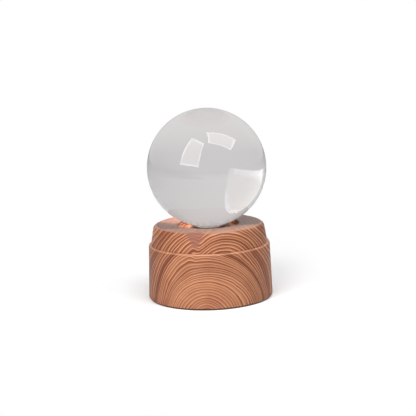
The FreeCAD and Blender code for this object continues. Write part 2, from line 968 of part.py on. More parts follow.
def lamp_lead():
    """From the switch up through the drum's neck to the board."""
    ends = lead_places()
    start = ends["lamp_terminal"]
    end = ends["plus_pad"]
    return lead([
        start,
        point(start.x, start.y, cavity_top - lead_radius * 4),
        point(end.x, end.y, cavity_top - lead_radius * 2),
        end,
    ])


def minus_lead():
    """From the minus tab up through the drum's neck to the board."""
    ends = lead_places()
    start = ends["minus_tab"]
    end = ends["minus_pad"]
    return lead([
        start,
        point(start.x, start.y, switch_height),
        point(end.x, end.y, cavity_top - lead_radius),
        end,
    ])


pieces = {
    "crystal_ball": crystal_ball(),
    "seat_ring": seat_ring(),
    "upper_tier": upper_tier(),
    "lower_drum": lower_drum(),
    "foot_pad": foot_pad(),
    "lamp_holder": lamp_holder(),
    "light_window": light_window(),
    "light_board": light_board(),
    "light_emitters": light_emitters(),
    "board_resistors": board_resistors(),
    "board_screws": board_screws(),
    "holder_screws": holder_screws(),
    "tier_screws": tier_screws(),
    "bottom_tray": bottom_tray(),
    "tray_screws": tray_screws(),
    "battery_cover": battery_cover(),
    "front_cell": cell(-cell_pitch, 1),
    "middle_cell": cell(0, -1),
    "back_cell": cell(cell_pitch, 1),
    "minus_contact": end_contact(-1, -cell_pitch),
    "plus_contact": end_contact(1, cell_pitch),
    "front_link": link_contact(1, -1),
    "back_link": link_contact(-1, 1),
    "cell_springs": cell_springs(),
    "switch_body": switch_body(),
    "switch_button": switch_button(),
    "switch_nut": switch_nut(),
    "switch_terminals": switch_terminals(),
    "plus_lead": plus_lead(),
    "lamp_lead": lamp_lead(),
    "minus_lead": minus_lead(),
}

for name, shape in pieces.items():
    shape.exportStep("parts/" + name + ".step")
    print(name, "solids", len(shape.Solids), "valid", shape.isValid(), "volume", round(shape.Volume, 1))
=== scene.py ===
import math
from typing import NamedTuple

import bmesh
import bpy
import numpy as np
from bpy.props import FloatProperty, FloatVectorProperty, IntProperty, PointerProperty
from mathutils import Matrix, Vector


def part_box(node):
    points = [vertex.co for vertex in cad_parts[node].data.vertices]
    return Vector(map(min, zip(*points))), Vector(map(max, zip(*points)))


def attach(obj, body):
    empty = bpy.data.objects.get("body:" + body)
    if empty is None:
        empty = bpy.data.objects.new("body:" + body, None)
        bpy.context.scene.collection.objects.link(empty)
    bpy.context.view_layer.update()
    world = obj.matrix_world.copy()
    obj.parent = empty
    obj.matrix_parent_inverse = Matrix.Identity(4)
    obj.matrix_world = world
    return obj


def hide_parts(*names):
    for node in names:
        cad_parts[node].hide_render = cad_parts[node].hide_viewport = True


bl_info = {
    "name": "Crystal ball lamp",
    "version": (1, 0, 0),
    "blender": (4, 5, 0),
    "location": "View3D > Sidebar > Lamp",
    "description": "A clear glass ball on a two-tier turned wooden base that lights it from below",
    "category": "Object",
}

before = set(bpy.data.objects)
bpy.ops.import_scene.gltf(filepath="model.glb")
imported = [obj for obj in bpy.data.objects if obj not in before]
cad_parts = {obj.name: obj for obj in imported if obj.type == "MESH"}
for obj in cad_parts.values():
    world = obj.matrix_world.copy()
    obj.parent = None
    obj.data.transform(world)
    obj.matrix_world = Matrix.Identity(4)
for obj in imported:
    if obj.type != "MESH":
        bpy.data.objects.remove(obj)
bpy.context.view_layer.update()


def span(node):
    """Radius, foot and top of a round CAD node about the lamp's axis."""
    low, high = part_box(node)
    return min(high.x, high.y, -low.x, -low.y), low.z, high.z


ball_foot, ball_top = span("crystal_ball")[1:]
drum_span, drum_foot, drum_top = span("lower_drum")
tier_foot, tier_top = span("upper_tier")[1:]
ring_span, ring_foot, ring_top = span("seat_ring")
pad_span, pad_foot, pad_top = span("foot_pad")
window_span, window_foot, window_top = span("light_window")
switch_low, switch_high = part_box("switch_body")
ball_radius = (ball_top - ball_foot) / 2
ball_centre = (ball_top + ball_foot) / 2
switch_height = (switch_low.z + switch_high.z) / 2

MILLI = 0.001
# Edges that turn more than this stay sharp
SMOOTH_ANGLE = math.radians(32)


def shade(red, green, blue):
    """A colour in the renderer's linear terms from its 0 to 255 screen values."""
    share = np.array((red, green, blue)) / 255
    return tuple(np.where(share > 0.04045, ((share + 0.055) / 1.055) ** 2.4, share / 12.92))


def length(label, words, value):
    """A length that a user may change, in metres."""
    return FloatProperty(name=label, description=words, default=value, unit="LENGTH", precision=5)


def colour(label, words, value):
    """A plain colour that a user may change."""
    return FloatVectorProperty(
        name=label, description=words, default=value, subtype="COLOR", size=3, min=0, max=1
    )


class LampSizes(bpy.types.PropertyGroup):
    """Sizes of the pieces that are worked out here in the CAD frame."""

    drum_radius: length("Drum radius", "Radius of the drum at its foot", drum_span)
    drum_taper: length("Drum taper", "How much narrower the drum is at its top", 0.0012)
    drum_lip: length("Drum lip", "Round of the drum's upper edge", 0.0011)
    drum_foot_round: length("Drum foot round", "Round of the drum's lower edge", 0.0006)
    drum_rim: length("Drum rim", "Width of the rim around the bottom tray", 0.0044)
    drum_shelf: length("Drum shelf", "Width of the shelf that the tray is screwed to", 0.0048)
    drum_seat: length("Drum seat", "Depth of the recess for the tray", 0.003)
    drum_deck: length("Drum deck", "Thickness of the wood over the cavity", 0.006)
    drum_neck: length("Drum neck", "Radius of the opening that the tier's tenon fills", 0.025)
    hole_radius: length("Switch hole", "Radius of the hole that the switch is sunk in", 0.0072)
    hole_face: length("Switch seat", "Distance of the bezel's seat from the lamp's axis", 0.0382)
    bore_radius: length("Switch bore", "Radius of the bore for the switch's barrel", 0.006)
    tier_radius: length("Tier radius", "Radius of the upper tier at its foot", 0.0394)
    tier_taper: length("Tier taper", "How much narrower the tier is at its top", 0.0022)
    tier_shoulder: length("Tier shoulder", "Round of the tier's shoulder", 0.0034)
    tier_foot_round: length("Tier foot round", "Round of the tier's lower edge", 0.0004)
    mouth_radius: length("Mouth radius", "Radius of the mouth that the ball sits in", 0.0206)
    mouth_depth: length("Mouth depth", "Depth of the mouth", 0.0034)
    mouth_round: length("Mouth round", "Round of the mouth's edge", 0.0007)
    bore_step: length("Bore step", "Radius of the bore around the lamp's snout", 0.0091)
    body_bore: length("Body bore", "Radius of the bore around the lamp holder's body", 0.0159)
    body_height: length("Body height", "Height of that bore over the holder's flange", 0.0032)
    flange_bore: length("Flange bore", "Radius of the bore around the holder's flange", 0.021)
    flange_depth: length("Flange depth", "Depth of that bore over the tier's foot", 0.0032)
    tenon_radius: length("Tenon radius", "Radius of the tier's tenon", 0.0248)
    ring_hole: length("Ring hole", "Radius of the hole in the soft ring", 0.0094)
    ring_round: length("Ring round", "Round of the soft ring's outer edge", 0.0006)
    ring_gap: length("Ring gap", "Room between the soft ring and the ball", 0.0003)
    window_round: length("Window round", "Round of the window's upper edge", 0.0003)
    pad_hole: length("Pad hole", "Inner radius of the foot pad", 0.038)
    pad_round: length("Pad round", "Round of the foot pad's edges", 0.0002)
    around: IntProperty(
        name="Steps around", description="Steps around a turned piece", default=360, min=360, max=720
    )


class LampColours(bpy.types.PropertyGroup):
    """Colours of the lamp's finishes."""

    wood_light: colour("Light wood", "Early wood between the rings", shade(216, 158, 120))
    wood_middle: colour("Middle wood", "The wood's usual tone", shade(182, 122, 87))
    wood_dark: colour("Dark wood", "Late wood in the rings", shade(130, 69, 43))
    # Painted highlight: a pale band on the cap's rounded shoulder
    cap_edge_highlight: colour("Cap edge", "The highlighted edge of the cap", shade(190, 143, 119))
    # Painted shadow: the ball's shadow darkens the cap's crown, less at its front
    crown_shadow: colour("Crown line", "The dark line around the cap's crown", shade(100, 60, 45))
    # Painted highlight: a pale band on the drum's rounded lip
    drum_lip_highlight: colour("Drum edge", "The highlighted edge of the drum", shade(216, 160, 128))
    knot: colour("Knot", "The darker patch near the tier's front", shade(140, 86, 72))
    glass: colour("Glass", "The ball's glass", (0.99, 0.982, 0.982))
    soft_ring: colour("Soft ring", "The ring under the ball", shade(74, 42, 30))
    foam: colour("Foam", "The foot pad", shade(88, 64, 52))
    moulding: colour("White moulding", "The lamp holder", shade(236, 235, 230))
    window: colour("Window", "The frosted window", shade(232, 230, 224))
    board: colour("Board", "The light board's lacquer", shade(226, 228, 222))
    chip_body: colour("Chip body", "The light chips' housings", shade(238, 236, 226))
    chip_dish: colour("Chip dish", "The yellow dish in each light chip", shade(236, 204, 84))
    black_moulding: colour("Black moulding", "The bottom tray and its cover", shade(40, 40, 42))
    jacket: colour("Cell jacket", "The cells' sleeves", shade(74, 80, 88))
    jacket_band: colour("Cell band", "The band at the cells' positive end", shade(196, 134, 78))
    steel: colour("Steel", "The zinc plated screws and nut", shade(176, 178, 180))
    nickel: colour("Nickel", "The contacts and springs", shade(206, 202, 194))
    brass: colour("Brass", "The switch's terminals", shade(206, 180, 122))
    switch_black: colour("Switch", "The switch's housing", shade(34, 34, 35))
    lead_red: colour("Red lead", "The lead from the positive tab", shade(176, 34, 28))
    lead_white: colour("White lead", "The lead from the switch", shade(226, 224, 216))
    lead_black: colour("Black lead", "The lead from the negative tab", shade(36, 36, 36))


class StageSizes(bpy.types.PropertyGroup):
    """The floor, the soft lights and the camera."""

    floor_reach: length("Floor", "Half the width of the floor", 6.0)
    camera_distance: length("Camera distance", "From the camera to the ball's centre", 0.75)
    light_distance: length("Light distance", "From the ball's centre to each soft light", 0.9)
    image_size: IntProperty(name="Image size", description="Pixels on each side", default=416)


# Shader maths


class Value:
    """A socket that takes part in sums, so that shader maths reads like plain maths."""

    def __init__(self, board, socket):
        self.board = board
        self.socket = socket

    def _join(self, operation, first, second):
        return self.board.node("ShaderNodeMath", {"operation": operation}, {0: first, 1: second})

    def __add__(self, other):
        return self._join("ADD", self, other)

    def __radd__(self, other):
        return self._join("ADD", other, self)

    def __sub__(self, other):
        return self._join("SUBTRACT", self, other)

    def __rsub__(self, other):
        return self._join("SUBTRACT", other, self)

    def __mul__(self, other):
        return self._join("MULTIPLY", self, other)

    def __rmul__(self, other):
        return self._join("MULTIPLY", other, self)

    def __truediv__(self, other):
        return self._join("DIVIDE", self, other)

    def __rtruediv__(self, other):
        return self._join("DIVIDE", other, self)

    def __pow__(self, other):
        return self._join("POWER", self, other)

    def least(self, other):
        return self._join("MINIMUM", self, other)

    def most(self, other):
        return self._join("MAXIMUM", self, other)

    def _alone(self, operation):
        return self.board.node("ShaderNodeMath", {"operation": operation}, {0: self})

    def floor(self):
        return self._alone("FLOOR")

    def part(self):
        return self._alone("FRACT")

    def size(self):
        return self._alone("ABSOLUTE")

    def step(self, low, high, from_value=0.0, to_value=1.0):
        """Rises smoothly from one value to another between two limits."""
        inputs = {"Value": self, "From Min": low, "From Max": high}
        inputs.update({"To Min": from_value, "To Max": to_value})
        return self.board.node("ShaderNodeMapRange", {"interpolation_type": "SMOOTHSTEP"}, inputs)


class Board:
    """A node tree that is filled in from plain calls."""

    def __init__(self, tree):
        self.tree = tree
        tree.nodes.clear()

    def node(self, kind, settings=None, inputs=None, output=0):
        """Adds a node: its settings first, then the values or links of its sockets."""
        made = self.tree.nodes.new(kind)
        for key, value in (settings or {}).items():
            if key == "stops":
                self._stops(made.color_ramp, value)
            else:
                setattr(made, key, value)
        for key, value in (inputs or {}).items():
            if isinstance(value, Value):
                self.tree.links.new(value.socket, made.inputs[key])
            else:
                made.inputs[key].default_value = value
        return Value(self, made.outputs[output]) if made.outputs else made

    def _stops(self, ramp, stops):
        for index, (place, tone) in enumerate(stops):
            stop = ramp.elements[index] if index < 2 else ramp.elements.new(place)
            stop.position = place
            stop.color = (*tone, 1)

    def vector(self, operation, first, second, output=0):
        inputs = {0: first, 1: second}
        return self.node("ShaderNodeVectorMath", {"operation": operation}, inputs, output)

    def scaled(self, vector, factor):
        return self.node("ShaderNodeVectorMath", {"operation": "SCALE"}, {0: vector, "Scale": factor})

    def parts(self, vector):
        """The three coordinates of a vector."""
        first = self.node("ShaderNodeSeparateXYZ", {}, {0: vector})
        return [Value(self, socket) for socket in first.socket.node.outputs]

    def noise(self, vector, scale, detail=2.0, roughness=0.5, output=0):
        inputs = {"Vector": vector, "Scale": scale, "Detail": detail, "Roughness": roughness}
        return self.node("ShaderNodeTexNoise", {}, inputs, output)

    def line_noise(self, value):
        """Noise along one number."""
        inputs = {"W": value, "Scale": 1.0, "Detail": 1.0}
        return self.node("ShaderNodeTexNoise", {"noise_dimensions": "1D"}, inputs)

    def wandered(self, place, scale, detail, reach):
        """A slow random shift of a place, whose three parts go from minus to plus half a reach."""
        shift = self.vector("SUBTRACT", self.noise(place, scale, detail, output=1), (0.5, 0.5, 0.5))
        return self.scaled(shift, reach)

    def ramp(self, value, stops):
        """A colour that follows a value through stops of a place and a colour."""
        return self.node("ShaderNodeValToRGB", {"stops": stops}, {0: value})

    def blend(self, factor, first, second):
        """A colour between two colours."""
        return self.node("ShaderNodeMix", {"data_type": "RGBA"}, {0: factor, 6: first, 7: second}, 2)

    def mixed(self, factor, first, second):
        """A shader between two shaders."""
        return self.node("ShaderNodeMixShader", {}, {0: factor, 1: first, 2: second})

    def glow(self, tone, strength=1.0):
        return self.node("ShaderNodeEmission", {}, {"Color": tone, "Strength": strength})

    def ray(self, kind):
        """What the light path says of a ray."""
        return self.node("ShaderNodeLightPath", {}, {}, kind)

    def bump(self, height, distance, strength):
        inputs = {"Strength": strength, "Distance": distance, "Height": height}
        return self.node("ShaderNodeBump", {}, inputs)

    def surface(self, shader):
        """Ends a material's tree with its shader."""
        self.node("ShaderNodeOutputMaterial", {}, {"Surface": shader})

    def millimetres(self):
        """The piece's own coordinates in millimetres."""
        place = self.node("ShaderNodeTexCoord", {}, {}, "Object")
        return self.scaled(place, 1 / MILLI)


def whole(tone, factor=1.0):
    """A colour times a factor, with its alpha."""
    return (*np.minimum(np.array(tone) * factor, 1), 1)


def blank(name):
    """A material without nodes, and its board."""
    material = bpy.data.materials.new(name)
    material.use_nodes = True
    return material, Board(material.node_tree)


def finish(name, sockets):
    """A material with one shader. Its inputs come from a function of its board, of the piece's own
    coordinates in millimetres and of the lamp's colours."""
    material, board = blank(name)
    inputs = sockets(board, board.millimetres(), bpy.context.scene.lamp_colours)
    shader = board.node("ShaderNodeBsdfPrincipled", {}, inputs)
    board.surface(shader)
    return material


# Shapes


def rounded(corners, steps=8):
    """A profile through corners (radius, height, round), each round an arc tangent to both sides."""
    pieces = []
    for index, (radius, height, fillet) in enumerate(corners):
        here = np.array((radius, height))
        if not fillet:
            pieces.append(here[None])
            continue
        back = np.array(corners[index - 1][:2]) - here
        ahead = np.array(corners[(index + 1) % len(corners)][:2]) - here
        back = back / np.hypot(*back)
        ahead = ahead / np.hypot(*ahead)
        half = math.acos(np.clip(back @ ahead, -1, 1)) / 2
        middle = here + (back + ahead) / np.hypot(*(back + ahead)) * fillet / math.sin(half)
        first = here + back * fillet / math.tan(half) - middle
        last = here + ahead * fillet / math.tan(half) - middle
        share = np.linspace(0, 1, steps + 1)[:, None]
        sweep = math.pi - 2 * half
        arc = (np.sin((1 - share) * sweep) * first + np.sin(share * sweep) * last) / math.sin(sweep)
        pieces.append(middle + arc)
    return np.concatenate(pieces)


def grid_faces(rows, columns, closed):
    """Four-cornered faces of a grid that goes around, and if closed also from last row to first."""
    row = np.arange(rows if closed else rows - 1)[:, None]
    column = np.arange(columns)[None, :]
    below = row * columns
    above = (row + 1) % rows * columns
    ahead = (column + 1) % columns
    return np.stack([below + column, below + ahead, above + ahead, above + column], axis=-1)


def piece(name, points, faces, material, node, body):
    """A mesh object from arrays of points and faces, welded, turned outwards and smoothed between
    its sharp edges; it replaces a CAD node and rides its body."""
    mesh = bpy.data.meshes.new(name)
    mesh.from_pydata(points.reshape(-1, 3), [], faces.reshape(-1, 4))
    form = bmesh.new()
    form.from_mesh(mesh)
    loose = [vertex for vertex in form.verts if not vertex.link_faces]
    bmesh.ops.delete(form, geom=loose, context="VERTS")
    bmesh.ops.remove_doubles(form, verts=form.verts, dist=MILLI * MILLI)
    bmesh.ops.recalc_face_normals(form, faces=form.faces)
    form.to_mesh(mesh)
    form.free()
    mesh.shade_smooth()
    mesh.set_sharp_from_angle(angle=SMOOTH_ANGLE)
    mesh.materials.append(material)
    made = bpy.data.objects.new(name, mesh)
    bpy.context.scene.collection.objects.link(made)
    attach(made, body)
    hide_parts(node)


def turned(profile, columns):
    """Points of a turned surface: (r cos a, r sin a, z) for each profile point (r, z) and angle a."""
    angle = np.linspace(0, 2 * math.pi, columns, endpoint=False)
    radius, height = profile.T[..., None]
    return np.stack([radius * np.cos(angle), radius * np.sin(angle), height + 0 * angle], axis=-1)


def turned_piece(name, profile, material, node, body, closed=True):
    """A whole turned piece."""
    columns = bpy.context.scene.lamp_sizes.around
    faces = grid_faces(len(profile), columns, closed)
    piece(name, turned(profile, columns), faces, material, node, body)


# The switch hole's place on the drum's grid, in steps from its middle
HOLE_CELLS = 5
HOLE_REACH = 14


def hole_warp(points, rows, radius_at, hole_radius):
    """Bends the grid lines near the back of a turned wall around a round hole along Y.

    A grid point's step count k is the larger of its steps up and its steps across. At k equal to
    HOLE_CELLS it moves to the hole's circle in its own direction, at HOLE_REACH it stays, and in
    between it is a straight blend. Its distance out then follows from the wall's radius there."""
    columns = points.shape[1]
    across = np.arange(columns) - columns // 4
    up = rows[:, None]
    steps = np.maximum(np.abs(up), np.abs(across)[None, :])
    near = (steps <= HOLE_REACH) & (steps >= HOLE_CELLS)
    x = points[..., 0]
    z = points[..., 2] - switch_height
    distance = np.maximum(np.hypot(x, z), MILLI)
    share = (steps - HOLE_CELLS) / (HOLE_REACH - HOLE_CELLS)
    stretch = np.where(near, (1 - share) * hole_radius / distance + share, 1)
    x = x * stretch
    z = z * stretch + switch_height
    y = np.where(near, np.sqrt(np.maximum(radius_at(z) ** 2 - x**2, 0)), points[..., 1])
    return np.stack([x, y, z], axis=-1)


def hole_loop(first_row, columns, points):
    """Grid indices of the square of points that became the hole's edge, by their angle around it;
    first_row is the band's first row."""
    side = np.arange(-HOLE_CELLS, HOLE_CELLS)
    end = np.full(len(side), HOLE_CELLS)
    rows = np.concatenate([-end, side, end, -side]) + HOLE_REACH
    steps = np.concatenate([side, end, -side, -end]) + columns // 4
    loop = (first_row + rows) * columns + steps
    x, y, z = points[loop].T
    return loop[np.argsort(np.arctan2(z - switch_height, x))]


def drum_piece(material):
    """The drum: a turned profile with the stepped switch hole through its back wall.

    The profile's outer and inner walls each have a band of rows one grid step apart around the
    hole. Four loops join the two walls: the hole's edge outside, the same loop moved in to the
    bezel's seat, that loop shrunk to the bore, and the bore's edge on the inner wall."""
    sizes = bpy.context.scene.lamp_sizes
    columns = sizes.around
    seat = sizes.drum_radius - sizes.drum_rim
    cavity = seat - sizes.drum_shelf
    cavity_top = drum_top - sizes.drum_deck
    shelf = drum_foot + sizes.drum_seat
    step = sizes.drum_radius * 2 * math.pi / columns
    band = np.arange(-HOLE_REACH, HOLE_REACH + 1)
    slope = sizes.drum_taper / (drum_top - drum_foot)

    def outer(z):
        return sizes.drum_radius - (z - drum_foot) * slope

    def inner(z):
        return cavity + 0 * z

    low = (sizes.drum_radius, drum_foot)
    high = (outer(drum_top), drum_top)
    foot = rounded([(seat, drum_foot, 0), (*low, sizes.drum_foot_round), (*high, 0)])[:-1]
    lip = rounded([(*low, 0), (*high, sizes.drum_lip), (sizes.drum_neck, drum_top, 0)])[1:]
    heights = switch_height + band * step
    outside = np.stack([outer(heights), heights], axis=-1)
    inside = np.stack([inner(heights), heights], axis=-1)
    last = np.array([
        (sizes.drum_neck, cavity_top), (cavity, cavity_top), (cavity, shelf), (seat, shelf)
    ])
    # the inner band goes between the cavity's top and the shelf, and is walked downwards
    profile = np.concatenate([foot, outside, lip, last[:2], inside[::-1], last[2:]])
    points = turned(profile, columns)
    outer_row = len(foot)
    inner_row = outer_row + len(band) + len(lip) + 2
    rows = np.full(len(profile), HOLE_REACH + 1)
    rows[outer_row:outer_row + len(band)] = band
    outside_points = hole_warp(points, rows, outer, sizes.hole_radius)
    rows = np.full(len(profile), HOLE_REACH + 1)
    rows[inner_row:inner_row + len(band)] = -band
    points = hole_warp(outside_points, rows, inner, sizes.bore_radius)
    faces = grid_faces(len(profile), columns, True)
    middle = slice(columns // 4 - HOLE_CELLS, columns // 4 + HOLE_CELLS)
    kept = np.ones(faces.shape[:2], bool)
    for first in (outer_row, inner_row):
        start = first + HOLE_REACH - HOLE_CELLS
        kept[start:start + 2 * HOLE_CELLS, middle] = False
    flat = points.reshape(-1, 3)
    edge = hole_loop(outer_row, columns, flat)
    far = hole_loop(inner_row, columns, flat)
    seat_loop = flat[edge] * (1, 0, 1) + (0, sizes.hole_face, 0)
    centre = np.array((0, sizes.hole_face, switch_height))
    bore_loop = centre + (seat_loop - centre) * sizes.bore_radius / sizes.hole_radius
    count = len(edge)
    base = len(flat)
    loops = [edge, base + np.arange(count), base + count + np.arange(count), far]
    strips = [
        np.stack([one, np.roll(one, -1), np.roll(two, -1), two], axis=-1)
        for one, two in zip(loops, loops[1:])
    ]
    points = np.concatenate([flat, seat_loop, bore_loop])
    faces = np.concatenate([faces[kept], *strips])
    piece("turned_drum", points, faces, material, "lower_drum", "base")


# Wood


# Height of the rings up to which the zones of a block go, in millimetres
ZONE_REACH = 64.0


class Block(NamedTuple):
    """One turned block of wood: how it was cut and the marks on it, in millimetres. Tones go from 0
    for light to 1 for dark."""

    name: str
    crown: float  # height of its upper face
    heart: tuple  # x and z of the line that its rings go around
    rings: object  # function of x and z from that line, for the rings' height over it
    spacing: float  # from ring to ring
    bite: tuple  # weight of the lines in the inner rings and in the outer ones
    zones: list  # heights of the rings, each with its tone
    lean: float  # what the tone gains at the left end
    # Painted light: pale painted highlights on rounded edges, or the ball's painted shadow on the
    # crown
    painted_bands: list  # heights from the crown where each sets in and is full, colour, share, front fade
    knot_push: tuple  # the knot's centre, its reach, and how far it pushes the rings out
    knot_stain: tuple = None  # the stain's x, its foot and crown, and its half width at both


def tier_rings(x, z):
    """Rings of the cap: the distance from their heart line, drawn out by a third on the left."""
    x = x * (1 - (0 - x).step(6.0, 26.0) * 0.26)
    return (x * x + z * z) ** 0.5


def drum_rings(x, z):
    """Rings of the drum: circles about the heart line up to a radius of 30 mm. From there to 46 mm
    their centre rises by 13 mm and moves left by about half of that, so the outer rings stand
    steeply at the sides. From 20 to 32 mm they also get crowded by a third on the left and spread
    a little on the right."""
    radius = (x * x + z * z) ** 0.5
    rise = radius.step(30.0, 46.0, 0.0, 13.0)
    x = x + rise * 0.46
    x = x * (1 + radius.step(20.0, 32.0) * x.step(-3.0, 3.0, 0.32, -0.08))
    z = z - rise
    return (x * x + z * z) ** 0.5 + rise


def knot_fault(board, bent, knot_push):
    """How much higher the rings are around a knot: most on its right, and lower on its left."""
    centre, reach, push = knot_push
    away = board.vector("DISTANCE", bent, centre, 1)
    side = board.parts(bent)[0] - centre[0]
    return (1 - away.step(0.0, reach)) * side.step(-3.0, 3.0, -0.6 * push, push)


def knot_mask(x, y, z, block):
    """The knot's stain on the front: a wedge that is wider at its crown than at its foot."""
    middle, foot, crown, foot_width, crown_width = block.knot_stain
    foot = foot - block.heart[1]
    crown = crown - block.heart[1]
    width = z.step(foot, crown, foot_width, crown_width)
    inside = 1 - ((x + (block.heart[0] - middle)).size() - width).step(-0.8, 0.8)
    return inside * z.step(foot - 1, foot + 1) * (1 - y.step(-34.0, -30.0))


def wood(block):
    """Solid turned wood: growth rings about a heart line that runs front to back.

    Broad and fine noise bends the space. The ring count is the rings' height over the spacing, with
    slow changes of pace. In each ring the tone rises to the thin dark late wood and falls again to
    a thin pale line, and each ring has its own weight. The zones, a cloudy noise and the fibres add
    to the tone. Fibres and pores are noise that is stretched along the heart line. Bands around the
    upper edge are painted light: pale bands are painted highlights, a dark one is the ball's painted
    shadow, and those with a front fade fade towards the front."""
    zones = [(height / ZONE_REACH, (tone, tone, tone)) for height, tone in block.zones]

    def sockets(board, place, tones):
        here_x, here_y, here_z = board.parts(place)
        bent = board.vector("ADD", place, board.wandered(place, 0.035, 1.0, 2.0))
        bent = board.vector("ADD", bent, board.wandered(place, 0.16, 2.0, 0.9))
        x, y, z = board.parts(board.vector("SUBTRACT", bent, (block.heart[0], 0, block.heart[1])))
        height = block.rings(x, z) + y * 0.05 + knot_fault(board, bent, block.knot_push)
        count = height / block.spacing + board.line_noise(height * 0.14) * 2.0
        inside = count.part()
        draw = {"W": count.floor()}
        weight = board.node("ShaderNodeTexWhiteNoise", {"noise_dimensions": "1D"}, draw)
        late = inside.step(0.52, 0.78) * (1 - inside.step(0.84, 0.95))
        pale = (1 - inside.step(0.08, 0.34)) * inside.step(0.0, 0.06)
        lines = late * (weight * weight * 0.5 + 0.12) - pale * (weight * 0.26 + 0.16)
        along = board.vector("MULTIPLY", bent, (1.0, 0.06, 1.0))
        fibre = board.noise(along, 2.4, 3.0, 0.65)
        pores = board.noise(along, 6.0, 1.0).step(0.62, 0.74)
        cloud = board.noise(place, 0.08, 2.0)
        tone = board.ramp(height / ZONE_REACH, zones) + lines * height.step(15.0, 42.0, *block.bite)
        tone = tone + (fibre + cloud - 1) * 0.3 + x.step(-36.0, -18.0, block.lean, 0.0)
        tint = board.ramp(
            tone,
            [
                (0.0, tones.wood_light),
                (0.4, tones.wood_middle),
                (0.78, tones.wood_dark),
                (1.0, whole(tones.wood_dark, 0.7)[:3]),
            ],
        )
        tint = board.blend(pores * 0.25, tint, whole(tones.wood_dark))
        under = here_z - block.crown
        # Painted light: pale bands are painted highlights on the rounded edges, and a dark band is the
        # ball's painted shadow on the crown, which the mask behind keeps off the crown's front
        behind = (here_y - here_x * 0.1).step(-18.0, -12.0)
        for low, high, mark, share, front_fade in block.painted_bands:
            band = under.step(low, high) * share
            tint = board.blend(band * (behind * front_fade + (1 - front_fade)), tint, whole(mark))
        if block.knot_stain:
            tint = board.blend(knot_mask(x, y, z, block) * 0.8, tint, whole(tones.knot))
        return {
            "Base Color": tint,
            "Roughness": 0.46 + (fibre - 0.5) * 0.18 + late * 0.05,
            "Normal": board.bump(late * 0.5 + fibre * 0.5 - pores * 0.6, 0.00006, 0.5),
            "Coat Weight": under.step(-1.2, -0.2) * 0.3 + 0.12,
            "Coat Roughness": 0.3,
            "Specular IOR Level": 0.3,
        }

    return finish(block.name, sockets)


# The other finishes


def clear_glass(board, place, tones):
    """Solid clear glass, polished, with a slow wave so faint that only reflections show it."""
    return {
        "Base Color": whole(tones.glass),
        "Roughness": 0.0,
        "IOR": 1.52,
        "Transmission Weight": 1.0,
        "Normal": board.bump(board.noise(place, 0.05, 1.0), 0.00001, 0.2),
    }


def moulded(tone, roughness, grain, depth):
    """Moulded plastic: a fine spark-eroded grain in its relief, and a gloss that is a bit uneven."""

    def sockets(board, place, tones):
        fine = board.noise(place, grain, 2.0, 0.6)
        broad = board.noise(place, 0.09, 2.0)
        scuff = board.noise(place, 0.6, 4.0, 0.7).step(0.55, 0.8)
        bright = np.array(tone) * 1.25 + 0.012
        return {
            "Base Color": board.blend(scuff * 0.4 + broad * 0.15, whole(tone), whole(bright)),
            "Roughness": roughness + (fine - 0.5) * 0.16 + (broad - 0.5) * 0.12,
            "Normal": board.bump(fine, depth, 0.6),
        }

    return sockets


def foam(board, place, tones):
    """Closed-cell foam: small round cells with thin walls."""
    cells = board.node("ShaderNodeTexVoronoi", {}, {"Vector": place, "Scale": 2.6})
    dust = board.noise(place, 0.5, 3.0)
    return {
        "Base Color": board.blend(cells * 0.5 + dust * 0.3, whole(tones.foam), whole(tones.foam, 1.5)),
        "Roughness": 0.9,
        "Normal": board.bump(cells, 0.00012, 0.7),
    }


def soft_ring(board, place, tones):
    """Soft silicone, faintly dusty, with a smooth sheen."""
    dust = board.noise(place, 0.8, 4.0, 0.7)
    dusty = whole(tones.soft_ring, 1.6)
    return {
        "Base Color": board.blend(dust.step(0.4, 0.8) * 0.5, whole(tones.soft_ring), dusty),
        "Roughness": 0.45 + (dust - 0.5) * 0.2,
        "Normal": board.bump(dust, 0.00002, 0.4),
    }


def frosted(board, place, tones):
    """A frosted disc: white with a fine sanded grain."""
    grain = board.noise(place, 5.0, 2.0, 0.6)
    return {
        "Base Color": board.blend(grain * 0.35, whole(tones.window), (0.7, 0.69, 0.66, 1)),
        "Roughness": 0.62 + (grain - 0.5) * 0.2,
        "Subsurface Weight": 0.2,
        "Subsurface Scale": 0.002,
        "Normal": board.bump(grain, 0.00003, 0.5),
    }


def metal(tone, roughness, streak):
    """Plated or drawn metal: fine streaks along one direction and cloudy gloss."""

    def sockets(board, place, tones):
        drawn = board.noise(board.vector("MULTIPLY", place, streak), 1.0, 3.0, 0.6)
        cloud = board.noise(place, 0.35, 3.0)
        return {
            "Base Color": board.blend(cloud.step(0.35, 0.75) * 0.6, whole(tone), whole(tone, 0.72)),
            "Metallic": 1.0,
            "Roughness": roughness + (drawn - 0.5) * 0.2 + (cloud - 0.5) * 0.14,
            "Normal": board.bump(drawn, 0.00001, 0.5),
        }

    return sockets


def along_x(node):
    """Middle and half length of a CAD node along X, in millimetres."""
    low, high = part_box(node)
    return (low.x + high.x) / 2 / MILLI, (high.x - low.x) / 2 / MILLI


def cell(side):
    """A cell: a sleeve with a coloured band at its positive end, and bare plated ends. The side is
    1 if that end points to +X, and -1 if it points to -X."""
    middle, half = along_x("front_cell")

    def sockets(board, place, tones):
        reach = (board.parts(place)[0] - middle * side) * side
        scuff = board.noise(place, 0.7, 4.0, 0.7).step(0.5, 0.8)
        band = reach.step(half - 14.0, half - 13.8)
        sleeve = board.blend(band, whole(tones.jacket), whole(tones.jacket_band))
        sleeve = board.blend(scuff * 0.3, sleeve, (0.5, 0.5, 0.5, 1))
        bare = reach.size().step(half - 1.3, half - 1.2)
        return {
            "Base Color": board.blend(bare, sleeve, whole(tones.nickel)),
            "Metallic": bare * 0.85 + 0.15,
            "Roughness": 0.34 + scuff * 0.12,
            "Normal": board.bump(scuff, 0.00001, 0.4),
        }

    return sockets


